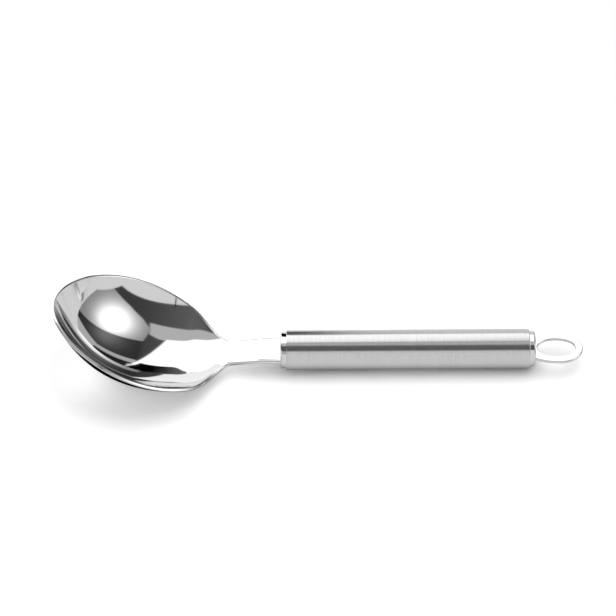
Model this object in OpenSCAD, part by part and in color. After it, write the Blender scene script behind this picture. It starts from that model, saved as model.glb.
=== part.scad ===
// Rice serving spoon: a pressed stainless head on a round tube handle, with a hanging loop.
// Lengths are in millimetres and angles in degrees.
// The spoon lies on a table. +X runs from the bowl to the loop and +Z is up. The origin is on
// the table, under the middle of the spoon's length.

/* [Bowl] */
// Distance along the rim from the front cap to the bowl's widest place
bowl_mid = 67.4; // [58:0.1:78]
// Distance along the rim from the widest place to the tip
tip_l = 45.9; // [40:0.1:54]
// Width of the bowl across its rim at the widest place
bowl_w = 64; // [56:0.5:72]
// Depth of the bowl at the widest place, square to the rim
bowl_depth = 19.26; // [14:0.01:24]
// Slope of the bowl's rim, rising towards the tip
bowl_tilt = 26; // [18:0.5:34]
// Thickness of the steel sheet
sheet_t = 1.8; // [1.2:0.1:2.5]

/* [Neck] */
// How far the neck's edges lie inside the front cap's rim, each side
neck_inset = 0.97; // [0.8:0.01:2]
// Width of the neck at its waist
waist_w = 14.3; // [11:0.1:18]
// Distance from the front cap to the waist
waist_at = 18; // [12:0.5:24]
// Downward slope of the neck
neck_dip = 5.5; // [0:0.5:10]
// Length over which the neck bends down
dip_l = 14; // [8:0.5:22]
// Height of the neck's edges above the tube's centre line at the front cap
neck_rise = 0.7; // [0:0.1:1.5]
// Distance from the widest place back to where the neck starts to widen
flare_far = 49.1; // [44:0.1:54]
// Distance from the widest place back to where the neck has become the bowl
flare_near = 22.1; // [16:0.1:26]
// Distance from the widest place back to where the neck starts to bend up
bend_far = 42.1; // [38:0.1:47]
// Distance from the widest place back to where the rim runs straight again
bend_near = 27.8; // [20:0.1:32]
// Share of the bowl's hollow that the neck keeps
neck_hollow = 0.5; // [0.3:0.05:1]
// Distance from the widest place back to where the neck starts to hollow out
hollow_far = 53.4; // [48:0.1:56]
// Distance from the widest place back to where the neck is as hollow as the bowl
hollow_near = 33.4; // [24:0.1:40]
// Length of the tang inside the front cap
tang_l = 7; // [5:0.5:9]
// Width of the tang at its inner end
tang_end_w = 9; // [6:0.5:11]

/* [Handle tube] */
// Outside diameter of the tube
tube_d = 19; // [18:0.1:24]
// Wall thickness of the tube
tube_wall = 0.9; // [0.6:0.1:1.2]
// Length of the tube
tube_l = 115.7; // [90:0.1:150]
// Radius on the outer corners of the tube's ends
tube_round = 0.3; // [0.1:0.1:0.5]

/* [End caps] */
// How far each cap stands out of the tube
cap_proud = 2.8; // [2:0.1:5]
// How far each cap reaches into the tube
cap_skirt = 7; // [5:0.5:12]
// Thickness of each cap's end wall
cap_end_t = 1.2; // [0.8:0.1:2]
// Thickness of each cap's skirt
cap_wall = 0.8; // [0.5:0.1:1]
// Radius on each cap's outer corner
cap_round = 0.8; // [0.3:0.1:1.2]

/* [Hanging loop] */
// How far the loop stands out of the rear cap
loop_l = 23.1; // [18:0.1:32]
// Widest place across the loop
loop_w = 18.3; // [16:0.1:24]
// Thickness of the loop's strip
loop_t = 1.6; // [1.2:0.1:2.5]
// Width of the steel on each side of the eye
side_w = 3.8; // [2.5:0.1:5]
// Width of the steel between the eye and the loop's far end
end_w = 3.5; // [2:0.1:5]
// Width of the steel between the eye and the rear cap
root_w = 1.4; // [1:0.1:3]
// How far the stem's edges lie inside the rear cap's rim, each side
stem_inset = 1.77; // [1.4:0.01:3]

/* [Welds] */
// Length of each weld bead along the handle
bead_l = 2; // [1:0.1:3]
// Height of each weld bead above the tang
bead_h = 1.2; // [0.6:0.1:2]

/* [Fits] */
// Gap between a cap and the tube, each side
press_gap = 0.03; // [0.01:0.01:0.08]
// Gap around a tang in its slot
slot_gap = 0.08; // [0.04:0.01:0.15]
// Gap between a weld bead and what it holds
bead_gap = 0.02; // [0.01:0.01:0.05]

/* [Hidden] */

// How much narrower the bowl's outline is towards the tip than towards the neck
egg_share = -0.1;
// How square the outline's two ends are, compared with an ellipse
full_share = -0.3;
// How much steeper the wall is at the rim than in a plain dish
wall_share = 0.29;
// How much deeper the dish is at the tip's end than at the widest place
tip_depth_share = 0.2;
// Share of a tang's width that a weld bead covers
bead_share = 0.7;
// Place of the loop's widest point, as a share of its length from the cap
widest_share = 0.52;

// Rows of points along the neck, the flare and the bowl, and columns across
neck_rows = 7;
flare_rows = 17;
bowl_rows = 32;
columns = 36;
// Steps used to follow the bent side line of the rim
line_steps = 480;
// Strips across the outline of the tang's slot and of its weld beads
tang_cols = 12;
// Points on each quarter of the loop's outline and each half of its eye
oval_steps = 24;
// Segments of a full turn on the round pieces
turn = 96;

// How far a cut runs past what it cuts
overrun = tube_wall;
// Small step along the rim for measuring how the dish deepens
probe = sheet_t / 20;

tube_r = tube_d / 2;
cap_r = tube_r - tube_wall - press_gap;
rear_face = tube_l + 2 * cap_proud;
head_l = bowl_mid + tip_l;
neck_half = cap_r - neck_inset;
waist_half = waist_w / 2;
bowl_half = bowl_w / 2;
stem_w = 2 * (cap_r - stem_inset);
eye_l = loop_l - end_w - root_w;
eye_w = loop_w - 2 * side_w;

// Where the flare, the bend and the hollow begin and end, measured from the front cap
flare_start = bowl_mid - flare_far;
flare_end = bowl_mid - flare_near;
bend_start = bowl_mid - bend_far;
bend_end = bowl_mid - bend_near;
hollow_start = bowl_mid - hollow_far;
hollow_end = bowl_mid - hollow_near;

// A curve that goes from 0 to 1 with no kink in its slope or its bend
function ease(t) =
    let (c = min(max(t, 0), 1))
    c * c * c * (10 - 15 * c + 6 * c * c);

// Slope of the rim's side line at a distance s from the front cap
function slope(s) =
    bowl_tilt * ease((s - bend_start) / (bend_end - bend_start))
    - neck_dip * ease(s / dip_l) * (1 - ease((s - bend_start) / (bend_end - bend_start)));

// Change of the slope per millimetre, in radians
function bend(s) = (slope(s + probe) - slope(s - probe)) * PI / 180 / (2 * probe);

// The rim's side line as [distance from the cap, height], added up in short steps
line_step = head_l / line_steps;
side_line = [for (i = 0, x = 0, z = neck_rise;
                  i <= line_steps;
                  x = x + line_step * cos(slope((i + 0.5) * line_step)),
                  z = z + line_step * sin(slope((i + 0.5) * line_step)),
                  i = i + 1) [x, z]];

// A place on the side line, straight on behind the cap's face
function side(s) =
    let (k = min(max(s / line_step, 0), line_steps),
         i = min(floor(k), line_steps - 1))
    s < 0 ? [s, neck_rise] : side_line[i] + (k - i) * (side_line[i + 1] - side_line[i]);

// Half width of the neck
function neck_half_at(s) = neck_half + (waist_half - neck_half) * ease(s / waist_at);

// Square of the half width of the egg-shaped bowl
function egg_square(s) =
    let (u = (s - bowl_mid) / tip_l)
    bowl_half * bowl_half * (1 - u * u) * (1 - egg_share * u + full_share * u * u);

// Square of the head's half width: the neck blends into the bowl along the flare
function half_square(s) =
    let (k = ease((s - flare_start) / (flare_end - flare_start)))
    k * egg_square(s) + (1 - k) * pow(neck_half_at(s), 2);

// Share of the full hollow: the flat neck deepens into the bowl
function hollow(s) =
    neck_hollow + (1 - neck_hollow) * ease((s - hollow_start) / (hollow_end - hollow_start));

// Depth of the inner face below the rim, square to the rim's side line
function dish(s, y) =
    let (t = (half_square(s) - y * y) / (bowl_half * bowl_half),
         d = bowl_depth * (1 + tip_depth_share * (max(s, 0) - bowl_mid) / tip_l))
    hollow(s) * d * ((1 + wall_share) * t - wall_share * t * t);

// Unit directions along the side line, towards the tip, and square to it, upwards
function along(s) = [-cos(slope(s)), 0, sin(slope(s))];
function upright(s) = [sin(slope(s)), 0, cos(slope(s))];

// A point of the inner face
function inner(s, y) =
    let (p = side(s))
    [-p[0], y, p[1]] - dish(s, y) * upright(s);

// Unit normal of the inner face, pointing up out of the dish
function skin_normal(s, y) =
    let (ds = (dish(s + probe, y) - dish(s - probe, y)) / (2 * probe),
         dy = (dish(s, y + probe) - dish(s, y - probe)) / (2 * probe),
         stretch = 1 + dish(s, y) * bend(s),
         n = stretch * (upright(s) + dy * [0, 1, 0]) + ds * along(s))
    n / norm(n);

// The point of the outer face behind a point of the inner face
function outer(s, y) = inner(s, y) - sheet_t * skin_normal(s, y);

// Places of the rows along the rim, closer together where the head bends and at the tip
rows = concat(
    [-tang_l, -cap_end_t - bead_l, -cap_end_t, 0],
    [for (i = [1 : neck_rows - 1]) flare_start * i / neck_rows],
    [for (i = [0 : flare_rows - 1]) flare_start + (flare_end - flare_start) * i / flare_rows],
    [for (i = [0 : bowl_rows - 1]) flare_end + (head_l - flare_end) * sin(90 * i / bowl_rows)]);
n_rows = len(rows);
n_cols = columns + 1;

// Half width of the head, with the tang tapering behind the cap's face
function head_half(s) =
    s < 0
    ? neck_half + (neck_half - tang_end_w / 2) * s / tang_l
    : sqrt(half_square(s));

// Place across the head of a column, closer together towards the rim
function across(s, j) = head_half(s) * sin(90 * (2 * j / columns - 1));

inner_points = [for (s = rows) for (j = [0 : columns]) inner(s, across(s, j))];
outer_points = [for (s = rows) for (j = [0 : columns]) outer(s, across(s, j))];
tip_points = [inner(head_l, 0), outer(head_l, 0)];
head_points = concat(inner_points, outer_points, tip_points);

// Where the spoon ends, and how low it reaches below the tube's centre line
head_reach = min([for (p = head_points) p[0]]);
lowest = min(-tube_r, min([for (p = outer_points) p[2]]));
place = [-(head_reach + rear_face + loop_l) / 2, 0, -lowest];

// Numbers of the points in the list
function at_inner(i, j) = i * n_cols + j;
function at_outer(i, j) = (n_rows + i) * n_cols + j;
at_tip_inner = 2 * n_rows * n_cols;
at_tip_outer = at_tip_inner + 1;
last_row = n_rows - 1;

// Two triangles for the four corners of a patch
function patch(a, b, c, d) = [[a, b, c], [a, c, d]];

head_faces = concat(
    [for (i = [0 : last_row - 1]) for (j = [0 : columns - 1])
        each patch(at_inner(i, j), at_inner(i + 1, j), at_inner(i + 1, j + 1), at_inner(i, j + 1))],
    [for (i = [0 : last_row - 1]) for (j = [0 : columns - 1])
        each patch(at_outer(i, j), at_outer(i, j + 1), at_outer(i + 1, j + 1), at_outer(i + 1, j))],
    [for (i = [0 : last_row - 1])
        each patch(at_inner(i, columns), at_inner(i + 1, columns),
                   at_outer(i + 1, columns), at_outer(i, columns))],
    [for (i = [0 : last_row - 1])
        each patch(at_inner(i + 1, 0), at_inner(i, 0), at_outer(i, 0), at_outer(i + 1, 0))],
    [for (j = [0 : columns - 1])
        each patch(at_inner(0, j), at_inner(0, j + 1), at_outer(0, j + 1), at_outer(0, j))],
    [for (j = [0 : columns - 1]) [at_inner(last_row, j), at_tip_inner, at_inner(last_row, j + 1)]],
    [for (j = [0 : columns - 1]) [at_outer(last_row, j + 1), at_tip_outer, at_outer(last_row, j)]],
    patch(at_inner(last_row, columns), at_tip_inner, at_tip_outer, at_outer(last_row, columns)),
    patch(at_tip_inner, at_inner(last_row, 0), at_outer(last_row, 0), at_tip_outer));

// A point of the tang's upper and lower face in [y, z], moved out of the steel by a gap
function tang_top(y, gap) =
    let (p = inner(0, y) + gap * skin_normal(0, y))
    [p[1], p[2]];
function tang_bottom(y, gap) =
    let (p = outer(0, y) - gap * skin_normal(0, y))
    [p[1], p[2]];

// Places across a strip of the tang, and a shift that widens its two ends
function strip_y(half, j) = half * (2 * j / tang_cols - 1);
function end_shift(j, gap) = [j == 0 ? -gap : (j == tang_cols ? gap : 0), 0];

// Outline of the tang's slot in [y, z]
slot_outline = concat(
    [for (j = [0 : tang_cols])
        tang_top(strip_y(neck_half, j), slot_gap) + end_shift(j, slot_gap)],
    [for (j = [tang_cols : -1 : 0])
        tang_bottom(strip_y(neck_half, j), slot_gap) + end_shift(j, slot_gap)]);

// Outlines of the weld beads above and below the tang in [y, z]
bead_half = neck_half * bead_share;
upper_bead = concat(
    [for (j = [0 : tang_cols]) tang_top(strip_y(bead_half, j), bead_gap)],
    [for (j = [tang_cols : -1 : 0]) tang_top(strip_y(bead_half, j), bead_gap + bead_h)]);
lower_bead = concat(
    [for (j = [0 : tang_cols]) tang_bottom(strip_y(bead_half, j), bead_gap)],
    [for (j = [tang_cols : -1 : 0]) tang_bottom(strip_y(bead_half, j), bead_gap + bead_h)]);

// Turns an outline drawn in [y, z] into a bar along +X
module bar_along_x(length) {
    rotate([90, 0, 90]) linear_extrude(length) children();
}

// Turns a profile drawn in [radius, x] round the handle's centre line
module turn_about_x() {
    rotate([90, 0, 90]) rotate_extrude($fn = turn) children();
}

// A drawn cup: its end wall faces -X and its skirt fits inside the tube
module cup() {
    cup_l = cap_proud + cap_skirt;
    turn_about_x() difference() {
        union() {
            square([cap_r - cap_round, cup_l]);
            translate([0, cap_round]) square([cap_r, cup_l - cap_round]);
            translate([cap_r - cap_round, cap_round]) circle(r = cap_round, $fn = turn);
        }
        translate([-overrun, cap_end_t]) square([cap_r - cap_wall + overrun, cup_l]);
    }
}

module spoon_head() {
    color("silver") translate(place)
        polyhedron(points = head_points, faces = head_faces, convexity = 8);
}

module front_cap() {
    color("gainsboro") translate(place) difference() {
        cup();
        translate([-overrun, 0, 0]) bar_along_x(cap_end_t + 2 * overrun)
            polygon(slot_outline);
    }
}

module front_weld() {
    color("darkgray") translate(place) translate([cap_end_t + bead_gap, 0, 0]) {
        bar_along_x(bead_l) polygon(upper_bead);
        bar_along_x(bead_l) polygon(lower_bead);
    }
}

module handle_tube() {
    color("lightsteelblue") translate(place) translate([cap_proud, 0, 0]) turn_about_x() {
        for (end = [tube_round, tube_l - tube_round])
            translate([tube_r - tube_round, end]) circle(r = tube_round, $fn = turn);
        translate([tube_r - tube_round, tube_round])
            square([tube_round, tube_l - 2 * tube_round]);
        translate([tube_r - tube_wall, 0]) square([tube_wall - tube_round, tube_l]);
    }
}

module rear_cap() {
    slot = [cap_end_t + 2 * overrun, stem_w + 2 * slot_gap, loop_t + 2 * slot_gap];
    color("gainsboro") translate(place) translate([rear_face, 0, 0]) difference() {
        mirror([1, 0, 0]) cup();
        translate([overrun - slot[0], -slot[1] / 2, -slot[2] / 2]) cube(slot);
    }
}

module rear_weld() {
    width = stem_w * bead_share;
    start = rear_face - cap_end_t - bead_gap - bead_l;
    color("darkgray") translate(place) {
        translate([start, -width / 2, loop_t / 2 + bead_gap]) cube([bead_l, width, bead_h]);
        translate([start, -width / 2, -loop_t / 2 - bead_gap - bead_h]) cube([bead_l, width, bead_h]);
    }
}

// Quarter of an oval about a centre on the loop's middle line, from one angle to another
function oval(centre, a, b, from, to) =
    [for (i = [0 : oval_steps])
        let (q = from + (to - from) * i / oval_steps) [centre + a * cos(q), b * sin(q)]];

// The loop's outline: a long oval quarter on the cap's side and a short one at the far end.
// The long oval is cut off by the cap's face just where it is as wide as the stem.
module loop_outline() {
    half = loop_w / 2;
    widest = loop_l * widest_share;
    cut = asin(stem_w / loop_w);
    long = widest / cos(cut);
    upper = concat([[-tang_l, stem_w / 2]],
                   oval(widest, long, half, 180 - cut, 90),
                   oval(widest, loop_l - widest, half, 90, 0));
    polygon(concat(upper, [for (i = [len(upper) - 2 : -1 : 0]) [upper[i][0], -upper[i][1]]]));
}

module hanging_loop() {
    eye_mid = root_w + eye_l / 2;
    color("silver") translate(place) translate([rear_face, 0, -loop_t / 2])
        linear_extrude(loop_t) difference() {
            loop_outline();
            polygon(concat(oval(eye_mid, eye_l / 2, eye_w / 2, 0, 180),
                           oval(eye_mid, eye_l / 2, eye_w / 2, 180, 360)));
        }
}

spoon_head();
front_cap();
front_weld();
handle_tube();
rear_cap();
rear_weld();
hanging_loop();
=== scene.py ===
# %% [markdown]
# # A rice serving spoon in stainless steel
# The spoon is a pressed head on a round tube handle. Two drawn caps close the tube, and a
# pressed loop stands out of the rear one. The measured model gives every piece its place.
# Each piece here is a surface worked out from the same sizes, finished as steel really is.

# %% Load the measured model
import math
import bpy
import numpy as np
from mathutils import Matrix, Vector


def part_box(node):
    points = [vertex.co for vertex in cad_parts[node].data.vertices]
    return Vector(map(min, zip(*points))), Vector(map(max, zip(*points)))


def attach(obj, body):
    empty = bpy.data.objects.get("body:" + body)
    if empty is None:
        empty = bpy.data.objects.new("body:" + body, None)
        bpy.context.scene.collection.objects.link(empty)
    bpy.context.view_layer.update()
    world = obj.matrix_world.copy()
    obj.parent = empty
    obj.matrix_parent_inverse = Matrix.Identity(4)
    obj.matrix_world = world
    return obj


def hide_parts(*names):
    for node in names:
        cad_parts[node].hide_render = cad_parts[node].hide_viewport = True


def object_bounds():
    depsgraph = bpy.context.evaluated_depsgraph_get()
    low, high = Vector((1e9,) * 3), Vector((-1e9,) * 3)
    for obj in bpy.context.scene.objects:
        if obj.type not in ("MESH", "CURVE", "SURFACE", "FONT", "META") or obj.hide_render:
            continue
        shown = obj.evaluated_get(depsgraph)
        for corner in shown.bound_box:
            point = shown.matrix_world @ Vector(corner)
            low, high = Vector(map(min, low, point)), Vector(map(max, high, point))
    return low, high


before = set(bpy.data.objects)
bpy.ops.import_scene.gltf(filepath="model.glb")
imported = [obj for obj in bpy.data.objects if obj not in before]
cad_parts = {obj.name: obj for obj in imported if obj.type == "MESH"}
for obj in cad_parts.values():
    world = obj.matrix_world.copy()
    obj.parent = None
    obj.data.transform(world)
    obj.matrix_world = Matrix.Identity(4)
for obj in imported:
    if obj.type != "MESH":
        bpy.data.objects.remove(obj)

MM = 0.001
cad_low, cad_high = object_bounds()
print("overall size in mm:", [round(v / MM, 2) for v in cad_high - cad_low])

# %% [markdown]
# ## Where the pieces meet
# The front cap's face is where the head leaves the handle. It could be typed in as a number,
# but then a change in the measured model would open a gap. So it is read from the frame:
# every piece below is drawn from that point, along the handle's centre line.

# %% Read the seats from the frame
front_low, front_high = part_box("front_cap")
rear_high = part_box("rear_cap")[1]
tube_low, tube_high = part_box("handle_tube")
loop_low, loop_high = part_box("hanging_loop")
head_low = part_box("spoon_head")[0]

FACE = np.array([front_low.x, 0, (front_low.z + front_high.z) / 2])
CAP_R = (front_high.z - front_low.z) / 2
TUBE_R = (tube_high.z - tube_low.z) / 2
TUBE_L = tube_high.x - tube_low.x
REAR_X = rear_high.x
LOOP_T = loop_high.z - loop_low.z
BODY = "root"               # nothing moves, so everything rides on the one body
print("front cap's face at x =", round(FACE[0] / MM, 2), "mm")
print("tube radius", round(TUBE_R / MM, 2), "mm")

# %% [markdown]
# ## Turning a grid of points into a piece
# A smooth part can be pushed out of a cube with modifiers, or spun from a drawn profile.
# Here each part is a formula on a grid, because polished steel shows every dent. The formula
# also knows which way the surface faces, and those exact directions go into the mesh.

# %% Make a mesh from a grid
def grid_faces(index):
    """Quads between the grid's places, and triangles where a row shrinks to one point."""
    quads = np.stack([index[:-1, :-1], index[1:, :-1], index[1:, 1:], index[:-1, 1:]], -1)
    quads = quads.reshape(-1, 4)
    last, first = quads[:, 1] == quads[:, 2], quads[:, 0] == quads[:, 3]
    return (quads[~(last | first)].tolist() + quads[last][:, [0, 1, 3]].tolist()
            + quads[first][:, [0, 1, 2]].tolist())


def make_piece(name, points, facing, index, lids=()):
    """A mesh object; index holds the vertex of each grid place, lids are loops to close.

    If the faces' own directions (one diagonal crossed with the other) point against the given
    ones, the grid is read backwards.
    """
    points, facing = points.reshape(-1, 3), facing.reshape(-1, 3)
    corner = [index[:-1, :-1], index[1:, :-1], index[1:, 1:], index[:-1, 1:]]
    across = np.cross(points[corner[2]] - points[corner[0]], points[corner[3]] - points[corner[1]])
    if (across * facing[corner[0]]).sum() < 0:
        index, lids = index[:, ::-1], [lid[::-1] for lid in lids]
    used = np.unique(index)
    number = np.zeros(len(points), int)
    number[used] = np.arange(len(used))
    faces = grid_faces(number[index]) + [number[lid].tolist() for lid in lids]
    mesh = bpy.data.meshes.new(name)
    mesh.from_pydata(points[used].tolist(), [], faces)
    mesh.polygons.foreach_set("use_smooth", np.ones(len(mesh.polygons), bool))
    mesh.normals_split_custom_set_from_vertices(facing[used].tolist())
    piece = bpy.data.objects.new(name, mesh)
    bpy.context.scene.collection.objects.link(piece)
    print(name, "has", sum(len(face) - 2 for face in faces), "triangles")
    return piece


def join_ends(index):
    """The same grid with its first column repeated at the end, so the ring closes."""
    return np.concatenate([index, index[:, :1]], 1)


def fit(piece, node, material):
    """Dresses a piece and lets it stand for its node."""
    piece.data.materials.append(material)
    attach(piece, BODY)
    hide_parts(node)


def unit(v):
    """The same directions with length one."""
    return v / np.linalg.norm(v, axis=-1, keepdims=True)


# %% [markdown]
# ## Colours and node trees
# Colours are written as hex values, as a picker shows them, and turned into the linear
# values that light adds up in. Nodes could be placed by hand in the shader editor. One helper
# adds, sets and links them here, so that a tree reads from top to bottom like a recipe.

# %% Colour and node helpers
def linear(code):
    """An sRGB hex colour as linear RGBA."""
    c = np.array([int(code[i:i + 2], 16) for i in (1, 3, 5)]) / 255
    c = np.where(c <= 0.04045, c / 12.92, ((c + 0.055) / 1.055) ** 2.4)
    return (*c.tolist(), 1.0)


WHITE = (1.0, 1.0, 1.0, 1.0)


def add(tree, kind, links={}, values={}, **settings):
    """Adds a node: settings are its properties, values its sockets, links what feeds them."""
    node = tree.nodes.new(kind)
    for key, value in settings.items():
        setattr(node, key, value)
    for socket, value in values.items():
        node.inputs[socket].default_value = value
    for socket, source in links.items():
        tree.links.new(source, node.inputs[socket])
    return node


def steel(name, colour, roughness, anisotropic=0.0, rotation=0.0):
    """A bare metal surface with a principled shader; returns the material, tree and shader.

    A pattern that is linked to a socket later takes the place of its number.
    """
    material = bpy.data.materials.new(name)
    material.use_nodes = True
    tree = material.node_tree
    shader = tree.nodes["Principled BSDF"]
    shader.inputs["Base Color"].default_value = linear(colour)
    shader.inputs["Metallic"].default_value = 1.0
    shader.inputs["Roughness"].default_value = roughness
    shader.inputs["Anisotropic"].default_value = anisotropic
    shader.inputs["Anisotropic Rotation"].default_value = rotation
    return material, tree, shader


# %% [markdown]
# ## Mirror-polished stainless steel
# The head, caps and loop are 18/10 stainless steel, buffed with ever finer compound. A buffed
# sheet isn't a perfect mirror: it keeps shallow waves from the press and hair-fine lines from
# the wheel. So the shader is a smooth metal with a little uneven roughness and a slight bump.
# To the eye this gives sharp pictures of the studio that waver a little, as in a shop mirror.

# %% Mirror-polished stainless steel
POLISH_LINE = 0.35 * MM     # spacing of the wheel's lines, drawn coarser than the real 0.02 mm
LINE_DEPTH = 0.0006 * MM
PRESS_WAVE = 14 * MM        # length of the shallow waves that pressing leaves
WAVE_DEPTH = 0.02 * MM
GLOSS = (0.025, 0.085)      # roughness where the wheel pressed hardest, and where least
ALONG_SPOON = (0.06, 1.0, 1.0)      # the lines run along the spoon: little change along X
ROUND_AXIS = (1.0, 0.1, 0.1)        # the lines run round the caps and across the loop


def polished_steel(name, line_stretch):
    """Buffed steel whose wheel lines run along the axis with the smallest stretch."""
    material, tree, shader = steel(name, "#dedede", 0.04)
    place = add(tree, "ShaderNodeTexCoord")
    lines = add(tree, "ShaderNodeMapping", {"Vector": place.outputs["Object"]},
                {"Scale": line_stretch})
    marks = add(tree, "ShaderNodeTexNoise", {"Vector": lines.outputs[0]},
                {"Scale": 1 / POLISH_LINE, "Detail": 3.0, "Roughness": 0.6})
    gloss = add(tree, "ShaderNodeMapRange", {"Value": marks.outputs["Fac"]},
                {"From Min": 0.3, "From Max": 0.75, "To Min": GLOSS[0], "To Max": GLOSS[1]})
    tree.links.new(gloss.outputs[0], shader.inputs["Roughness"])
    waves = add(tree, "ShaderNodeTexNoise", {"Vector": place.outputs["Object"]},
                {"Scale": 1 / PRESS_WAVE, "Detail": 1.0})
    wavy = add(tree, "ShaderNodeBump", {"Height": waves.outputs["Fac"]},
               {"Strength": 1.0, "Distance": WAVE_DEPTH})
    lined = add(tree, "ShaderNodeBump", {"Height": marks.outputs["Fac"],
                                         "Normal": wavy.outputs[0]},
                {"Strength": 1.0, "Distance": LINE_DEPTH})
    tree.links.new(lined.outputs[0], shader.inputs["Normal"])
    return material


head_steel = polished_steel("mirror_polished_stainless", ALONG_SPOON)
cap_steel = polished_steel("turned_and_buffed_stainless", ROUND_AXIS)
print("polish lines every", POLISH_LINE / MM, "mm, press waves every", PRESS_WAVE / MM, "mm")

# %% [markdown]
# ## Satin-brushed stainless steel
# The tube is stainless too, but it was turned against an abrasive belt, which cuts fine
# grooves round it. Grooves scatter light across themselves, along the handle, and hardly at
# all round the tube. That is anisotropic gloss, and its direction comes from a tangent that
# runs round the handle's axis. Faint rings of colour and height show single grooves.

# %% Satin-brushed stainless steel
GROOVE = 0.18 * MM          # spacing of the belt's grooves, drawn coarser than the real 0.05 mm
GROOVE_DEPTH = 0.002 * MM
ROUND_TUBE = (1.0, 0.03, 0.03)      # the grooves run round the tube: little change across X
DARK_GROOVE, BRIGHT_GROOVE = "#c9c9c9", "#dbdbdb"


def brushed_steel():
    """Belt-brushed tube steel with its grooves running round the X axis."""
    material, tree, shader = steel("satin_brushed_stainless", "#d2d2d2", roughness=0.2,
                                   anisotropic=0.9, rotation=0.25)
    place = add(tree, "ShaderNodeTexCoord")
    middle = add(tree, "ShaderNodeMapping", {"Vector": place.outputs["Object"]},
                 {"Location": (0.0, 0.0, -FACE[2])})
    rings = add(tree, "ShaderNodeMapping", {"Vector": middle.outputs[0]}, {"Scale": ROUND_TUBE})
    grooves = add(tree, "ShaderNodeTexNoise", {"Vector": rings.outputs[0]},
                  {"Scale": 1 / GROOVE, "Detail": 4.0, "Roughness": 0.65})
    tint = add(tree, "ShaderNodeMapRange", {"Value": grooves.outputs["Fac"]},
               {"From Min": 0.25, "From Max": 0.75})
    colour = add(tree, "ShaderNodeMix", {"Factor": tint.outputs[0]}, data_type="RGBA")
    colour.inputs[6].default_value = linear(DARK_GROOVE)
    colour.inputs[7].default_value = linear(BRIGHT_GROOVE)
    tree.links.new(colour.outputs[2], shader.inputs["Base Color"])
    round_it = add(tree, "ShaderNodeTangent", direction_type="RADIAL", axis="X")
    tree.links.new(round_it.outputs[0], shader.inputs["Tangent"])
    bump = add(tree, "ShaderNodeBump", {"Height": grooves.outputs["Fac"]},
               {"Strength": 1.0, "Distance": GROOVE_DEPTH})
    tree.links.new(bump.outputs[0], shader.inputs["Normal"])
    return material


tube_steel = brushed_steel()
print("grooves every", GROOVE / MM, "mm")

# %% [markdown]
# ## Weld metal
# A bead of weld holds each tang inside its cap, out of sight. Its surface froze in small
# ripples and was left as it came, so it is rougher and greyer than the buffed steel. It could
# be sculpted, but nobody will see it: the measured bead stays, and the shader draws the ripples.

# %% As-welded stainless steel
WELD_RIPPLE = 0.5 * MM      # spacing of the frozen ripples
RIPPLE_DEPTH = 0.05 * MM
SMOOTH_BEAD, ROUGH_BEAD = 0.35, 0.6
WELDS = ("front_weld", "rear_weld")


def weld_steel():
    """Unfinished weld bead: dull metal with small ripples."""
    material, tree, shader = steel("as_welded_stainless", "#9a9792", 0.45)
    place = add(tree, "ShaderNodeTexCoord")
    ripples = add(tree, "ShaderNodeTexNoise", {"Vector": place.outputs["Object"]},
                  {"Scale": 1 / WELD_RIPPLE, "Detail": 2.0})
    dull = add(tree, "ShaderNodeMapRange", {"Value": ripples.outputs["Fac"]},
               {"To Min": SMOOTH_BEAD, "To Max": ROUGH_BEAD})
    tree.links.new(dull.outputs[0], shader.inputs["Roughness"])
    bump = add(tree, "ShaderNodeBump", {"Height": ripples.outputs["Fac"]},
               {"Strength": 1.0, "Distance": RIPPLE_DEPTH})
    tree.links.new(bump.outputs[0], shader.inputs["Normal"])
    return material


bead_steel = weld_steel()
for node in WELDS:
    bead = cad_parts[node]
    bead.data.materials.clear()
    bead.data.materials.append(bead_steel)
print("weld beads dressed:", WELDS)

# %% [markdown]
# ## The head: its sizes
# The head is one piece of sheet, pressed into a bowl at one end and left as a shallow channel
# at the other. Its sizes are the measured model's own, so the two surfaces lie on each other.
# They are written here again, because a box from the frame tells neither a tilt nor a depth.

# %% Sizes of the head
BOWL_MID = 67.4 * MM        # along the rim from the front cap to the widest place
TIP_L = 45.9 * MM           # from there to the tip
BOWL_HALF = 32 * MM         # half the bowl's width
BOWL_DEPTH = 19.26 * MM     # depth at the widest place, square to the rim
BOWL_TILT = math.radians(26)
SHEET_T = 1.8 * MM
NECK_INSET = 0.97 * MM      # how far the neck's edge stays inside the cap's
NECK_HALF = CAP_R - NECK_INSET
WAIST_HALF = 7.15 * MM      # half the neck's width where it is narrowest
WAIST_AT = 18 * MM
NECK_DIP = math.radians(5.5)
DIP_L = 14 * MM             # the neck has taken up its dip this far from the cap
NECK_RISE = 0.7 * MM        # how far above the centre line the neck leaves the cap
FLARE = (BOWL_MID - 49.1 * MM, BOWL_MID - 22.1 * MM)    # where the neck widens into the bowl
BEND = (BOWL_MID - 42.1 * MM, BOWL_MID - 27.8 * MM)     # where the rim bends up
TANG_L = 7 * MM             # the neck runs on this far inside the cap
TANG_END_HALF = 4.5 * MM
EGG_SHARE = -0.1            # how much narrower the outline is towards the tip: here, wider
FULL_SHARE = -0.3           # how square its ends are: here, more pointed than an ellipse
WALL_SHARE = 0.29           # how much steeper the wall is at the rim
TIP_DEPTH_SHARE = 0.2       # how much deeper the dish is at the tip's end
NECK_HOLLOW = 0.5           # share of the full hollow that the flat neck keeps
HOLLOW = (BOWL_MID - 53.4 * MM, BOWL_MID - 33.4 * MM)   # where the neck hollows out
HEAD_L = BOWL_MID + TIP_L
PROBE = 0.01 * MM           # small step for measuring slopes
print("rim from cap to tip:", round(HEAD_L / MM, 1), "mm")

# %% [markdown]
# ## The head: its side line
# Seen from the side, the rim leaves the cap almost level, dips a little, then bends up and
# runs straight to the tip. A curve that eases from 0 to 1 blends these slopes without a kink,
# because a kink would break every reflection that crosses it.

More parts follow.
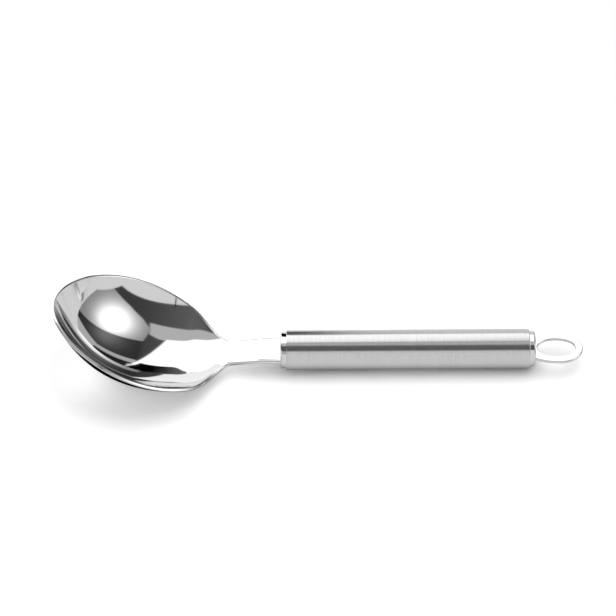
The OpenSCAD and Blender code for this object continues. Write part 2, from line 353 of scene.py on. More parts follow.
# %% Side line of the rim
def ease(t):
    """Goes from 0 to 1 with no kink: t cubed times (10 - 15 t + 6 t squared)."""
    t = np.clip(t, 0, 1)
    return t ** 3 * (10 - 15 * t + 6 * t * t)


def span(s, ends):
    """The eased share of the way from one end to the other."""
    return ease((s - ends[0]) / (ends[1] - ends[0]))


def slope(s):
    """Slope of the rim: the bowl's tilt past the bend, less the neck's dip before it."""
    return BOWL_TILT * span(s, BEND) - NECK_DIP * ease(s / DIP_L) * (1 - span(s, BEND))


SIDE_POINTS = 2401          # so many that the sums below are exact to a thousandth of a mm
steps = np.linspace(0, HEAD_L, SIDE_POINTS)
middles = (steps[1:] + steps[:-1]) / 2
side_x = np.concatenate([[0], np.cumsum(np.diff(steps) * np.cos(slope(middles)))])
side_z = NECK_RISE + np.concatenate([[0], np.cumsum(np.diff(steps) * np.sin(slope(middles)))])
print("the tip's rim is", round(side_z[-1] / MM, 2), "mm above the handle's centre line")

# %% [markdown]
# ## The head: its dish
# From above, the bowl is an egg that runs out into the neck. Across it, the sheet falls away
# from the rim, steeply at first and then ever more gently. One formula gives the depth at any
# place, so the inner face, the outer face and the edge all come from it.

# %% Outline and depth of the dish
def half_square(s):
    """Square of the half width: an egg past the flare, the waisted neck before it."""
    u = (s - BOWL_MID) / TIP_L
    egg = BOWL_HALF ** 2 * (1 - u * u) * (1 - EGG_SHARE * u + FULL_SHARE * u * u)
    neck = NECK_HALF + (WAIST_HALF - NECK_HALF) * ease(s / WAIST_AT)
    return span(s, FLARE) * egg + (1 - span(s, FLARE)) * neck ** 2


def dish(s, y):
    """Depth below the rim: a share t of the way in from the edge, times (1 + w - w t)."""
    t = (half_square(s) - y * y) / BOWL_HALF ** 2
    depth = BOWL_DEPTH * (1 + TIP_DEPTH_SHARE * (np.maximum(s, 0) - BOWL_MID) / TIP_L)
    depth = depth * (NECK_HOLLOW + (1 - NECK_HOLLOW) * span(s, HOLLOW))
    return depth * ((1 + WALL_SHARE) * t - WALL_SHARE * t * t)


def upright(s):
    """Direction square to the side line, upwards."""
    return np.stack([np.sin(slope(s)), 0 * s, np.cos(slope(s))], -1)


def inner(s, y):
    """A point of the inner face: on the side line, moved across, then down by the depth."""
    x = np.where(s < 0, s, np.interp(s, steps, side_x))
    z = np.interp(s, steps, side_z)
    line = np.stack([-x, y, z], -1)
    return FACE + line - dish(s, y)[..., None] * upright(s)


def face_up(s, y):
    """Unit direction out of the inner face: across the two slopes of the surface."""
    along = np.stack([-np.cos(slope(s)), 0 * s, np.sin(slope(s))], -1)
    fall_s = (dish(s + PROBE, y) - dish(s - PROBE, y)) / (2 * PROBE)
    fall_y = (dish(s, y + PROBE) - dish(s, y - PROBE)) / (2 * PROBE)
    bend = (slope(s + PROBE) - slope(s - PROBE)) / (2 * PROBE)
    stretch = (1 + dish(s, y) * bend)[..., None]
    lean = upright(s) + fall_y[..., None] * np.array([0, 1, 0])
    return unit(stretch * lean + fall_s[..., None] * along)


centre = inner(np.array([BOWL_MID]), np.array([0.0]))[0]
print("the dish's floor is", round(centre[2] / MM, 2), "mm above the table at its widest place")

# %% [markdown]
# ## The head: its rim
# A press cuts the sheet with a sharp edge, and the buffing wheel rounds it. The rounding has to
# run true round the tip, where the rim crosses the rows of the grid. So the rim's own
# direction is measured first. The round corners are then drawn square to it.

# %% The rim and its rounded edge
LIP_R = 0.7 * MM            # radius that buffing leaves on the rim's upper corner
UNDER_R = 0.5 * MM          # and the roll that the press leaves on its lower corner
CORNER_STEPS = 7
COLUMNS = 84
TANG_ROWS, NECK_ROWS, FLARE_ROWS, BOWL_ROWS = 5, 22, 54, 100

rows = np.concatenate([
    np.linspace(-TANG_L, 0, TANG_ROWS)[:-1],
    np.linspace(0, FLARE[0], NECK_ROWS)[:-1],
    np.linspace(FLARE[0], FLARE[1], FLARE_ROWS)[:-1],
    FLARE[1] + (HEAD_L - FLARE[1]) * np.sin(np.linspace(0, np.pi / 2, BOWL_ROWS))])
taper = NECK_HALF + (NECK_HALF - TANG_END_HALF) * rows / TANG_L
rim_half = np.where(rows < 0, taper, np.sqrt(np.maximum(half_square(rows), 0)))
rim_half[-1] = 0.0          # the two sides of the rim meet at the tip

rim = inner(rows, rim_half)
rim_up = face_up(rows, rim_half)
mirror_y = np.array([1, -1, 1])
both = np.concatenate([rim, rim[-2::-1] * mirror_y])
reach = np.concatenate([[0], np.cumsum(np.linalg.norm(np.diff(both, axis=0), axis=1))])
run = unit(np.gradient(both, reach, axis=0))[:len(rows)]
outward = unit(np.cross(run, rim_up))
print("rim's length:", round(reach[-1] / MM, 1), "mm, rounded to", LIP_R / MM, "mm")

# %% [markdown]
# ## The head: room for the rounding
# A rounded corner takes up the last strip of each face, so the faces stop one radius short of
# the rim. The wall is steep, so one radius measured along it covers less than that on the plan.
# The surface's own two slopes are measured at the rim, and two equations give the two moves,
# along the spoon and across it, that add up to one radius straight inwards.

# %% Stop the faces short of the rim
step_s = (inner(rows + PROBE, rim_half) - inner(rows - PROBE, rim_half)) / (2 * PROBE)
step_y = (inner(rows, rim_half + PROBE) - inner(rows, rim_half - PROBE)) / (2 * PROBE)
# ss, sy and yy are the slopes' own products, bs and by their products with the way outwards
ss, sy, yy = [(a * b).sum(-1) for a, b in ((step_s, step_s), (step_s, step_y), (step_y, step_y))]
bs, by = (outward * step_s).sum(-1), (outward * step_y).sum(-1)
room = ss * yy - sy * sy
inset_s = rows - LIP_R * (bs * yy - by * sy) / room
inset_half = rim_half - LIP_R * (by * ss - bs * sy) / room
inset_half[-1] = 0.0
print("faces end", LIP_R / MM, "mm inside the rim")

# %% [markdown]
# ## The head: both faces and the edge in one skin
# Each row of the grid is a closed ring: across the inner face, over the rounded edge, back
# under the outer face and up the other edge. At the tip the ring folds shut on itself, and
# behind, in the cap, a lid closes the tang. So the sheet is a solid with an even thickness.

# %% Build the head
across = np.sin(np.linspace(-np.pi / 2, np.pi / 2, COLUMNS + 1))
grid_s = np.repeat(inset_s[:, None], COLUMNS + 1, 1)
grid_y = inset_half[:, None] * across
top = inner(grid_s, grid_y)
top_up = face_up(grid_s, grid_y)
under = top - SHEET_T * top_up

corner = np.linspace(0, np.pi / 2, CORNER_STEPS)
angles = np.concatenate([corner[1:], corner + np.pi / 2])[:, None]
upper = (np.arange(len(angles)) < CORNER_STEPS - 1)[:, None]
radius = np.where(upper, LIP_R, UNDER_R)
sunk = np.where(upper, LIP_R, SHEET_T - UNDER_R)    # depth of the corner's middle
edge_dir = np.cos(angles) * rim_up[:, None] + np.sin(angles) * outward[:, None]
edge = rim[:, None] - radius * outward[:, None] - sunk * rim_up[:, None] + radius * edge_dir

ring = np.concatenate([top, edge, under[:, ::-1], (edge * mirror_y)[:, ::-1]], 1)
ring_dir = np.concatenate([top_up, edge_dir, -top_up[:, ::-1], (edge_dir * mirror_y)[:, ::-1]], 1)
count, width = ring.shape[:2]
index = np.arange(count * width).reshape(count, width)
last, sides = index[-1], edge.shape[1]      # at the tip, points that coincide become one
last[:COLUMNS + 1] = last[0]
last[COLUMNS + 1 + sides:width - sides] = last[COLUMNS + 1 + sides]
last[width - sides:] = last[COLUMNS + 1:COLUMNS + 1 + sides][::-1]
head = make_piece("pressed_head", ring, ring_dir, join_ends(index), [index[0]])
fit(head, "spoon_head", head_steel)
print("tip at x =", round(ring[..., 0].min() / MM, 2), "mm, measured", round(head_low.x / MM, 2))

# %% [markdown]
# ## Turned parts
# Tube and caps are round, so each is a path turned about the handle's centre line. A cylinder
# with a Bevel modifier would come close, but it gives every corner the same radius. No corner
# on real steel is perfectly sharp. Here every corner of the path carries a radius of its own,
# and the light it catches is what makes the parts read as separate.

# %% Turning a softened path
TURN_STEPS = 160


def soften(corners):
    """Points and outward directions along a path; each corner is (x, distance, radius).

    A corner that bends by an angle b becomes an arc. Its middle lies radius * tan(b / 2) back
    along the path and one radius to the side.
    """
    corners = np.array(corners, float)
    place, radius = corners[:, :2], corners[1:-1, 2:]
    go = unit(np.diff(place, axis=0))
    out = np.stack([-go[:, 1], go[:, 0]], -1)
    bend = np.arctan2((out[:-1] * go[1:]).sum(-1), (go[:-1] * go[1:]).sum(-1))[:, None]
    side = np.copysign(radius, bend)
    middle = place[1:-1] - go[:-1] * abs(side * np.tan(bend / 2)) + side * out[:-1]
    angle = (bend * np.linspace(0, 1, CORNER_STEPS))[..., None]
    arc_out = np.cos(angle) * out[:-1, None] - np.sin(angle) * go[:-1, None]
    arc = middle[:, None] - side[..., None] * arc_out
    points = np.concatenate([place[:1], arc.reshape(-1, 2), place[-1:]])
    return points, np.concatenate([out[:1], arc_out.reshape(-1, 2), out[-1:]])


def turned(name, corners, start, way=1):
    """Turns a softened path about the centre line; way -1 makes it run backwards along X."""
    path, out = soften(corners)
    angle = np.linspace(0, 2 * np.pi, TURN_STEPS, endpoint=False)
    round_dir = np.stack([0 * angle, np.cos(angle), np.sin(angle)], -1)
    axis = np.array([way, 0, 0])
    points = path[:, None, :1] * axis + path[:, None, 1:] * round_dir
    facing = out[:, None, :1] * axis + out[:, None, 1:] * round_dir
    index = np.arange(points.shape[0] * TURN_STEPS).reshape(-1, TURN_STEPS)
    index[path[:, 1] == 0] = index[path[:, 1] == 0][:, :1]      # one point on the centre line
    if np.allclose(path[0], path[-1]):
        index[-1] = index[0]                                    # the path closes on itself
    return make_piece(name, points + [start, 0, FACE[2]], facing, join_ends(index))


# %% [markdown]
# ## The tube
# The handle is a length of thin welded tube, cut square and brushed. Its two ends were touched
# against the belt, which left a light bevel beside each cap. The path goes along the bore and
# back over the outside, so that the wall has its real thickness.

# %% Build the tube
TUBE_WALL = 0.9 * MM
TUBE_EDGE = 0.3 * MM
BORE_EDGE = 0.15 * MM
BORE_R = TUBE_R - TUBE_WALL
tube = turned("brushed_tube", [
    (TUBE_L / 2, BORE_R, 0), (0, BORE_R, BORE_EDGE), (0, TUBE_R, TUBE_EDGE),
    (TUBE_L, TUBE_R, TUBE_EDGE), (TUBE_L, BORE_R, BORE_EDGE), (TUBE_L / 2, BORE_R, 0)],
    tube_low.x)
fit(tube, "handle_tube", tube_steel)

# %% [markdown]
# ## The caps
# Each cap is a cup drawn from sheet and pressed into the tube. Only its end shows, standing a
# little proud with a rounded edge. The neck and the loop pass through a slot whose gap is finer
# than a hair, so the pieces simply run into each other here.

# %% Build the caps
CAP_L = 9.8 * MM            # whole length, most of it inside the tube
CAP_END_T = 1.2 * MM
CAP_WALL = 0.8 * MM
CAP_EDGE = 0.8 * MM         # radius of the edge that shows
CAP_LIP = 0.2 * MM          # and of the two edges of its mouth, inside the tube
CAP_HOLLOW = 0.4 * MM       # and of the corner inside the cup
cup = [(0, 0, 0), (0, CAP_R, CAP_EDGE), (CAP_L, CAP_R, CAP_LIP),
       (CAP_L, CAP_R - CAP_WALL, CAP_LIP), (CAP_END_T, CAP_R - CAP_WALL, CAP_HOLLOW),
       (CAP_END_T, 0, 0)]
front = turned("front_cup", cup, FACE[0])
fit(front, "front_cap", cap_steel)
rear = turned("rear_cup", cup, REAR_X, -1)
fit(rear, "rear_cap", cap_steel)

# %% [markdown]
# ## The hanging loop
# The loop is a flat oval with an oval eye, blanked from sheet and tumbled until its edges are
# round. Its stem runs into the rear cap. It could be cut from an oval with a Boolean, which
# leaves a rough mesh. So each place on the outline gets a partner on the eye, in the same
# direction from the eye's centre, and the skin is a ring again.

# %% Outline and eye of the loop
LOOP_L = 23.1 * MM          # from the cap's face to the end
LOOP_HALF = 9.15 * MM
STEM_HALF = 6.8 * MM
LOOP_TANG = 7 * MM          # length of the stem's tang inside the cap
WIDEST_SHARE = 0.52         # the loop is widest just past its middle
WIDEST = WIDEST_SHARE * LOOP_L
EYE_MID, EYE_X, EYE_Y = 10.5 * MM, 9.1 * MM, 5.35 * MM     # the eye's centre and half axes
LOOP_EDGE = 0.45 * MM       # radius that tumbling leaves
NEAR_STEPS, FAR_STEPS, STEM_STEPS, EDGE_STEPS = 40, 48, 8, 6

cut = math.asin(STEM_HALF / LOOP_HALF)
near = np.linspace(cut, np.pi / 2, NEAR_STEPS)[:, None]
far = np.linspace(np.pi / 2, np.pi, FAR_STEPS)[1:, None]
quarter_1 = np.hstack([WIDEST * (1 - np.cos(near) / np.cos(cut)), LOOP_HALF * np.sin(near)])
quarter_2 = np.hstack([WIDEST - (LOOP_L - WIDEST) * np.cos(far), LOOP_HALF * np.sin(far)])
stem = np.linspace([-LOOP_TANG, 0], [-LOOP_TANG, STEM_HALF], STEM_STEPS).tolist()
stem += np.linspace([-LOOP_TANG, STEM_HALF], [0, STEM_HALF], STEM_STEPS)[1:-1].tolist()
half = np.concatenate([stem, quarter_1, quarter_2])
outline = np.concatenate([half, half[-2:0:-1] * [1, -1]])
ahead, behind = np.roll(outline, -1, 0), np.roll(outline, 1, 0)
go = unit(ahead - behind)
out = np.stack([-go[:, 1], go[:, 0]], -1)
ray = unit(outline - [EYE_MID, 0])
eye = ray / np.linalg.norm(ray / [EYE_X, EYE_Y], axis=1, keepdims=True)
into = unit(eye / [EYE_X ** 2, EYE_Y ** 2])
eye = eye + [EYE_MID, 0]

# %% [markdown]
# ## The hanging loop: its rounded skin
# Outline and eye are flat lines so far. Round each cross-section the skin turns through four
# quarters: two over the outer edge, from the top face to the bottom one, and two back over the
# eye's edge. Each quarter is an arc with the radius that tumbling leaves.

# %% Round the loop's edges
quarter = np.linspace(0, np.pi / 2, EDGE_STEPS)
turns = np.concatenate([quarter, quarter + np.pi / 2, quarter[::-1] + np.pi / 2, quarter[::-1]])
place_in_ring = np.arange(len(turns))
on_eye = (place_in_ring >= 2 * EDGE_STEPS)[:, None]
side = np.where(on_eye, -into[:, None], out[:, None])
flat = np.where(on_eye, (eye + LOOP_EDGE * into)[:, None], (outline - LOOP_EDGE * out)[:, None])
on_top = place_in_ring // EDGE_STEPS % 3 == 0       # the first and the last quarter
level = np.where(on_top, 1, -1) * (LOOP_T / 2 - LOOP_EDGE)
skin_dir = np.concatenate([side * np.sin(turns)[:, None],
                           np.broadcast_to(np.cos(turns)[:, None], side.shape[:2] + (1,))], 2)
skin = np.concatenate([flat, np.broadcast_to(level[:, None], side.shape[:2] + (1,))], 2)
skin = skin + LOOP_EDGE * skin_dir
index = np.arange(skin.shape[0] * skin.shape[1]).reshape(skin.shape[:2])
index = join_ends(np.concatenate([index, index[:1]]))
loop = make_piece("pressed_loop", skin + [REAR_X, 0, FACE[2]], skin_dir, index)
fit(loop, "hanging_loop", cap_steel)

# %% [markdown]
# ## What the bowl mirrors
# A real bowl would show a small picture of its own handle in the wall at the tip. In the
# photograph that picture has been retouched away. The retoucher's brush has its match here in
# each object's ray visibility: the handle's pieces, and the weld beads inside it, are hidden
# from mirror rays, and the bowl's wall stays clean.

# %% Hide the handle from mirror rays
handle = [tube, front, rear, loop] + [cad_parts[node] for node in WELDS]
for piece in handle:
    piece.visible_glossy = False
print("hidden from mirrors:", [piece.name for piece in handle])

# %% [markdown]
# ## The floor
# The spoon lies on a matt white sheet. A finite sheet matters here: past its edge the steel
# mirrors the dark room, and that edge is what shows the bowl's roundness. The photograph burns
# the sheet out to pure white, yet the steel mirrors it as a light grey, and the outside of the
# bowl mirrors the dark shadow under itself. So the sheet is laid twice: a bright one for the
# camera, and a greyer one that only mirrors can see, with a painted shadow where the bowl stands.

# %% Paper, card and sheets
PAPER_ROUGHNESS = 0.9


def matt(name, code):
    """Matt paper or card, which scatters light evenly."""
    material = bpy.data.materials.new(name)
    material.use_nodes = True
    shader = material.node_tree.nodes["Principled BSDF"]
    shader.inputs["Base Color"].default_value = linear(code)
    shader.inputs["Roughness"].default_value = PAPER_ROUGHNESS
    shader.inputs["Specular IOR Level"].default_value = 0.0
    return material


def lay(name, corners, material):
    """A flat sheet that belongs to the studio, not to the spoon."""
    mesh = bpy.data.meshes.new(name)
    mesh.from_pydata(corners, [], [list(range(len(corners)))])
    mesh.materials.append(material)
    sheet = bpy.data.objects.new(name, mesh)
    bpy.context.scene.collection.objects.link(sheet)
    return sheet


def only_mirrors(sheet):
    """Hides a sheet from everything but mirror reflections."""
    sheet.visible_camera = sheet.visible_diffuse = sheet.visible_shadow = False
    sheet.visible_transmission = False


print("paper and card have roughness", PAPER_ROUGHNESS, "and no shine")

# %% [markdown]
# ## The floor: paper that glows a little
# The spoon's polished outside throws light back into its own shadow. So the paper itself glows
# there a little. The mirrored sheet glows under the tube, because the photograph shows no shadow
# in the bowl's wall. A glow is a distance on the paper, stretched along X and eased from full to
# nothing.

# %% Let paper glow
# each glow: x, y, stretch along X, where it starts to fade, where it is gone, strength
GLOWS = [(-80 * MM, 0, 1.38, 18 * MM, 38 * MM, 0.33), (-45 * MM, 0, 4.0, 0, 12.5 * MM, 0.4),
         (-111 * MM, -9 * MM, 1.0, 0, 24 * MM, 0.17)]
MIRRORED_GLOWS = [(43 * MM, 4 * MM, 6.5, 4 * MM, 10 * MM, 0.6)]


def glow(material, spots):
    """Makes paper glow in soft ellipses: the sum of strength * smooth(distance)."""
    tree, total = material.node_tree, None
    place = add(tree, "ShaderNodeTexCoord")
    for x, y, stretch, near, far, strength in spots:
        off = add(tree, "ShaderNodeVectorMath", {0: place.outputs["Object"]},
                  {1: (1 / stretch, 1.0, 0.0), 2: (-x / stretch, -y, 0.0)},
                  operation="MULTIPLY_ADD")
        away = add(tree, "ShaderNodeVectorMath", {0: off.outputs[0]}, operation="LENGTH")
        spot = add(tree, "ShaderNodeMapRange", {"Value": away.outputs["Value"]},
                   {"From Min": near, "From Max": far, "To Min": strength, "To Max": 0.0},
                   interpolation_type="SMOOTHSTEP").outputs[0]
        total = spot if total is None else add(
            tree, "ShaderNodeMath", {0: total, 1: spot}, operation="ADD").outputs[0]
    shader = tree.nodes["Principled BSDF"]
    shader.inputs["Emission Color"].default_value = WHITE
    tree.links.new(total, shader.inputs["Emission Strength"])


print(len(GLOWS), "glows in the shown sheet,", len(MIRRORED_GLOWS), "in the mirrored one")

# %% [markdown]
# ## The floor: the sheet that the camera sees
# A Plane would do for the sheet, but its corners would show in the bowl. A disc mirrors as one
# even curve. This first disc is hidden from mirror rays, which is a setting of each object.

# %% Lay the floor
FLOOR_R = 262 * MM
FLOOR_MID = (-80 * MM, -30 * MM)
DISC_SIDES = 96
SHEET_GAP = 0.1 * MM        # two sheets in one plane would hide each other
PAPER_SHOWN = "#f3f3f3"

angle = np.linspace(0, 2 * np.pi, DISC_SIDES, endpoint=False)
disc = np.stack([np.cos(angle), np.sin(angle), 0 * angle], -1) * FLOOR_R
disc += [*FLOOR_MID, cad_low.z]
white_paper = matt("matt_white_paper", PAPER_SHOWN)
glow(white_paper, GLOWS)
floor = lay("floor", (disc - [0, 0, SHEET_GAP]).tolist(), white_paper)
floor.visible_glossy = False
print("floor disc of radius", round(FLOOR_R / MM), "mm")

# %% [markdown]
# ## The floor: the sheet that mirrors see
# The second sheet has the same outline, so the bowl shows its edge in the right place. Its
# colour is a painted shadow: a distance to the place where the bowl stands, eased from dark to
# grey.

# %% Lay the mirrored floor
# The mirrored sheet carries a painted shadow: dark round the place where the bowl stands, easing
# to grey.
UNDER_BOWL = (-84 * MM, -8 * MM)
PAINTED_SHADOW_R, PAINTED_SHADOW_END_R = 34 * MM, 58 * MM      # the dark place under the bowl, and where it ends
PAPER_MIRRORED, PAPER_PAINTED_SHADOW = "#cbcbcb", "#181818"

grey_paper = matt("matt_grey_paper_with_painted_shadow", PAPER_MIRRORED)
tree = grey_paper.node_tree
place = add(tree, "ShaderNodeTexCoord")
off = add(tree, "ShaderNodeVectorMath", {0: place.outputs["Object"]},
          {1: (*UNDER_BOWL, cad_low.z)}, operation="DISTANCE")
# painted shadow: the paper's colour darkens towards the bowl's standing place
clear = add(tree, "ShaderNodeMapRange", {"Value": off.outputs["Value"]},
            {"From Min": PAINTED_SHADOW_R, "From Max": PAINTED_SHADOW_END_R}, interpolation_type="SMOOTHSTEP")
shade = add(tree, "ShaderNodeMix", {"Factor": clear.outputs[0]},
            {6: linear(PAPER_PAINTED_SHADOW), 7: linear(PAPER_MIRRORED)}, data_type="RGBA")
tree.links.new(shade.outputs[2], tree.nodes["Principled BSDF"].inputs["Base Color"])
glow(grey_paper, MIRRORED_GLOWS)
only_mirrors(lay("mirrored_floor", disc.tolist(), grey_paper))
print("the mirrored sheet clears up", round(PAINTED_SHADOW_END_R / MM), "mm from the bowl's standing place")

# %% [markdown]
# ## The flag
# A product photographer puts dark cards near polished metal, so that its edges show dark
# against a white ground. One stands behind the spoon. The bowl's near wall mirrors it as a long
# streak, and the front of the handle as a dark line. Its colour fades to grey on the left, which
# is painted light, as a lamp grazing a card would give.

# %% Stand the flag behind the spoon
FLAG_BACK = 250 * MM
FLAG_SHAPE = [(-118, 0), (8, 0), (8, 198), (-66, 198), (-84, 160), (-118, 122)]  # right, up in mm
FLAG_BLACK, FLAG_GREY = -30 * MM, -125 * MM     # where along X its colour starts and ends fading
CARD_BLACK, CARD_PAINTED_LIT = "#050505", "#989898"

# painted light: the card's colour fades from black to a lit grey along X, as a grazing lamp would
# light it
flag_card = matt("flag_card", CARD_PAINTED_LIT)
tree = flag_card.node_tree
place = add(tree, "ShaderNodeTexCoord")
along = add(tree, "ShaderNodeSeparateXYZ", {0: place.outputs["Object"]})
fade = add(tree, "ShaderNodeMapRange", {"Value": along.outputs[0]},
           {"From Min": FLAG_BLACK, "From Max": FLAG_GREY}, interpolation_type="SMOOTHSTEP")
tone = add(tree, "ShaderNodeMix", {"Factor": fade.outputs[0]},
           {6: linear(CARD_BLACK), 7: linear(CARD_PAINTED_LIT)}, data_type="RGBA")
tree.links.new(tone.outputs[2], tree.nodes["Principled BSDF"].inputs["Base Color"])
only_mirrors(lay("flag", [(x * MM, FLAG_BACK, z * MM) for x, z in FLAG_SHAPE], flag_card))
print("the flag stands", round(FLAG_BACK / MM), "mm behind the handle")

# %% [markdown]
# ## The studio: its cards
# Polished steel has no look of its own: it shows the room. Real studios hang softboxes and
# cards round the object. They could be lamps and planes, but then each picture of one in the
# bowl would have to be found by moving it about. Here they are drawn on a map of the sky, where
# the middle is straight up and each step outwards is one degree. Each card is a polygon without
# inward corners, with soft edges, and lies over the cards before it in the list.

# %% List the cards
FAR = 200                   # degrees, well past the map's rim
ROOM = 0.055                # level of the dark room between the cards
CARDS = [
    # corners anticlockwise in degrees (right, back), softness, base level, and a hot spot with
    # its rise, its middle (right, back), its width and its height
    ("lit part of the room", [(-FAR, -FAR), (60, -FAR), (60, FAR), (-FAR, FAR)], 1.0, ROOM,
     (0.09, -20, 30, 29, 260)),
    ("room behind", [(21, 8), (FAR, 8), (FAR, FAR), (21, FAR)], 2.5, 0.034,
     (0.19, 54, 16, 17, 22)),
    ("back wall", [(22, 47), (FAR, 49), (FAR, FAR), (22, FAR)], 1.0, 0.5, None),
    ("doorway", [(12, 54), (58, 56), (58, FAR), (12, FAR)], 1.0, 0.02, None),
    ("side wall", [(58, 47), (FAR, -40), (FAR, FAR), (58, FAR)], 1.0, 0.52, None),
    ("shelf", [(-60, 4), (-33, -5.5), (17, -22.5), (17, -3), (9, 4.5), (-60, 10)], 1.5,
     0.57, None),
    ("top softbox", [(-FAR, 27.6), (5, 3.2), (22, 50), (26, 62), (26, FAR), (-FAR, FAR)], 1.2,
     1.55, None),
    ("backdrop", [(-6, 58), (26, 58), (26, FAR), (-6, FAR)], 2.0, 0.78, None),
    ("side softbox", [(16, -12), (24, -28), (39, -44), (57, -55), (68, -59), (FAR, -110),
                      (FAR, 16.2), (21, 10.8)], 1.2, 0.29, (2.22, 53, -14, 20, 24.6)),
    ("front card", [(-FAR, 5.7), (-FAR, -FAR), (FAR, -FAR), (FAR, -103.6)], 1.0, 0.84, None),
    ("front ground", [(48, -70), (48, -FAR), (FAR, -FAR), (FAR, 44)], 1.0, 0.84, None),
    ("camera stand", [(-1.1, -69), (-0.3, -69), (-0.3, -46), (-1.1, -46)], 0.2, 0.005, None),
]
# The photograph's retouching also took the neck's picture out of the wall at the tip. It came
# from the side softbox after two reflections, so such rays see a card as grey as the paper.
RETOUCHED = ([(50, -32), (100, -32), (100, -7), (50, -7)], 1.5, 1.1, None)
SECOND_BOUNCE = 1.5         # a ray's count of reflections is above this from the second on
print(len(CARDS), "cards hang in the studio")

# %% [markdown]
# ## The studio: a map of the sky
# A ray that misses everything carries only its direction. Its angle from straight up is the
# arc cosine of its height. Its level part, made one long and multiplied by that angle, is its
# place on the map.

# %% Work out the place on the map
world = bpy.data.worlds.new("studio")
bpy.context.scene.world = world
world.use_nodes = True
sky = world.node_tree
sky.nodes.clear()
towards = add(sky, "ShaderNodeTexCoord")
height = add(sky, "ShaderNodeSeparateXYZ", {0: towards.outputs["Generated"]})
radians = add(sky, "ShaderNodeMath", {0: height.outputs[2]}, operation="ARCCOSINE")
degrees = add(sky, "ShaderNodeMath", {0: radians.outputs[0]}, {1: 180 / math.pi},
              operation="MULTIPLY")
level_way = add(sky, "ShaderNodeVectorMath", {0: towards.outputs["Generated"]},
                {1: (1.0, 1.0, 0.0)}, operation="MULTIPLY")
level_way = add(sky, "ShaderNodeVectorMath", {0: level_way.outputs[0]}, operation="NORMALIZE")
flat_map = add(sky, "ShaderNodeVectorMath", {0: level_way.outputs[0], "Scale": degrees.outputs[0]},
               operation="SCALE")
sky_map = add(sky, "ShaderNodeVectorMath", {0: flat_map.outputs[0]}, {1: (0.0, 0.0, 1.0)},
              operation="ADD").outputs[0]
print("the map reaches 180 degrees, straight down")

# %% [markdown]
# ## The studio: hanging the cards
# A card is where a place on the map lies inside all of its edges. Each edge gives a share from
# 0 to 1 that rises across its softness, and the shares are multiplied. The first card lies at
# the bottom, and each next one is mixed over what is there by its share.

# %% Hang the cards
def hang(below, corners, soft, base, hot):
    """Hangs a card over what is below, as a product of soft half planes.

    Its level may rise to a hot spot as base + rise * exp(-distance squared).
    """
    share = None
    for (x0, y0), (x1, y1) in zip(corners, corners[1:] + corners[:1]):
        length = math.hypot(x1 - x0, y1 - y0)
        nx, ny = (y0 - y1) / length, (x1 - x0) / length
        inside = add(sky, "ShaderNodeVectorMath", {0: sky_map},
                     {1: (nx, ny, -nx * x0 - ny * y0)}, operation="DOT_PRODUCT")
        edge = add(sky, "ShaderNodeMapRange", {"Value": inside.outputs["Value"]},
                   {"From Min": -soft, "From Max": soft}, interpolation_type="SMOOTHSTEP")
        share = edge.outputs[0] if share is None else add(
            sky, "ShaderNodeMath", {0: share, 1: edge.outputs[0]}, operation="MULTIPLY").outputs[0]
    card = add(sky, "ShaderNodeMix", {0: share, 2: below}, {3: base})
    if hot:
        rise, x, y, wide, tall = hot
        off = add(sky, "ShaderNodeVectorMath", {0: sky_map},
                  {1: (1 / wide, 1 / tall, 0.0), 2: (-x / wide, -y / tall, 0.0)},
                  operation="MULTIPLY_ADD")
        square = add(sky, "ShaderNodeVectorMath", {0: off.outputs[0], 1: off.outputs[0]},
                     operation="DOT_PRODUCT")
        fall = add(sky, "ShaderNodeMath", {1: square.outputs["Value"]}, {0: math.exp(-1)},
                   operation="POWER")
        lit = add(sky, "ShaderNodeMath", {0: fall.outputs[0]}, {1: rise, 2: base},
                  operation="MULTIPLY_ADD")
        sky.links.new(lit.outputs[0], card.inputs[3])
    return card.outputs[0]


room = add(sky, "ShaderNodeValue")
room.outputs[0].default_value = ROOM
light = room.outputs[0]
for name, corners, soft, base, hot in CARDS:
    light = hang(light, corners, soft, base, hot)
seen = add(sky, "ShaderNodeLightPath")
twice = add(sky, "ShaderNodeMath", {0: seen.outputs["Glossy Depth"]}, {1: SECOND_BOUNCE},
            operation="GREATER_THAN")
light = add(sky, "ShaderNodeMix", {0: twice.outputs[0], 2: light,
                                   3: hang(light, *RETOUCHED)}).outputs[0]
studio = add(sky, "ShaderNodeBackground", {"Strength": light}, {"Color": WHITE})
print(len(sky.nodes), "nodes draw the studio")

# %% [markdown]
# ## The studio: which ray sees what
# The world can ask what a ray was sent for. Rays off steel see the cards. Rays off matt paper
# see a plain dome that is brightest overhead, because the cards would throw patches of light on
# it. The camera sees white past the end of the paper, as the burnt-out photograph does.

# %% Sort the rays
DOME_LOW, DOME_TOP = 0.37, 3.1      # light on matt surfaces, from the horizon and from above
DOME_LEAN = math.radians(8.6)       # how far its brightest place leans back
DOME_POWER = 4.0                    # how quickly it falls off from there

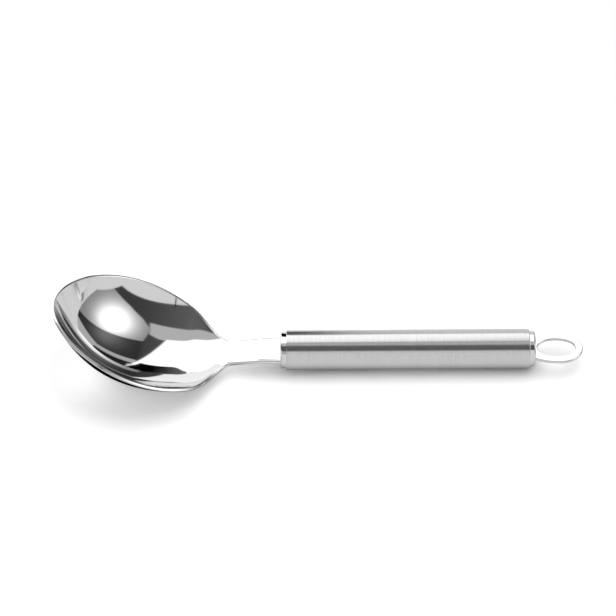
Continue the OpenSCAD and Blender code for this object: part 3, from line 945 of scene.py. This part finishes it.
above = add(sky, "ShaderNodeVectorMath", {0: towards.outputs["Generated"]},
            {1: (0.0, math.sin(DOME_LEAN), math.cos(DOME_LEAN))}, operation="DOT_PRODUCT")
above = add(sky, "ShaderNodeMath", {0: above.outputs["Value"]}, {1: 0.0}, operation="MAXIMUM")
above = add(sky, "ShaderNodeMath", {0: above.outputs[0]}, {1: DOME_POWER}, operation="POWER")
above = add(sky, "ShaderNodeMath", {0: above.outputs[0]}, {1: DOME_TOP, 2: DOME_LOW},
            operation="MULTIPLY_ADD")
dome = add(sky, "ShaderNodeBackground", {"Strength": above.outputs[0]}, {"Color": WHITE})
white = add(sky, "ShaderNodeBackground", {}, {"Color": WHITE})
lit = add(sky, "ShaderNodeMixShader", {0: seen.outputs["Is Glossy Ray"],
                                       1: dome.outputs[0], 2: studio.outputs[0]})
either = add(sky, "ShaderNodeMixShader", {0: seen.outputs["Is Camera Ray"],
                                          1: lit.outputs[0], 2: white.outputs[0]})
add(sky, "ShaderNodeOutputWorld", {0: either.outputs[0]})
world.cycles.sampling_method = "NONE"       # so soft a sky needs no search for its bright places
print("dome level from", DOME_LOW, "at the horizon to", DOME_LOW + DOME_TOP, "overhead")

# %% [markdown]
# ## The camera
# The photograph looks down at 48 degrees through a long lens, turned a touch to the right. The
# picture's middle lies a little right of the front cap's face, and above it.

# %% Set up the camera
LOOK_DOWN = math.radians(48)
LOOK_RIGHT = math.radians(-0.5)
DISTANCE = 1145.7 * MM
AIM_RIGHT, AIM_UP = 13.13 * MM, 20.1 * MM
SENSOR, LENS = 36, 140.26   # both in mm, as Blender wants them
turn = np.array(Matrix.Rotation(LOOK_RIGHT, 3, "Z"))
right = turn @ [1, 0, 0]
forward = turn @ [0, math.cos(LOOK_DOWN), -math.sin(LOOK_DOWN)]
up = np.cross(right, forward)
lens = bpy.data.cameras.new("camera")
lens.sensor_width = SENSOR
lens.lens = LENS
camera = bpy.data.objects.new("camera", lens)
bpy.context.scene.collection.objects.link(camera)
spot = FACE - forward * DISTANCE + right * AIM_RIGHT + up * AIM_UP
camera.matrix_world = Matrix.Translation(spot) @ Matrix(
    np.stack([right, up, -forward], 1).tolist()).to_4x4()
bpy.context.scene.camera = camera
bpy.context.scene.view_settings.view_transform = "Standard"
print("camera at", [round(v / MM) for v in spot.tolist()], "mm")
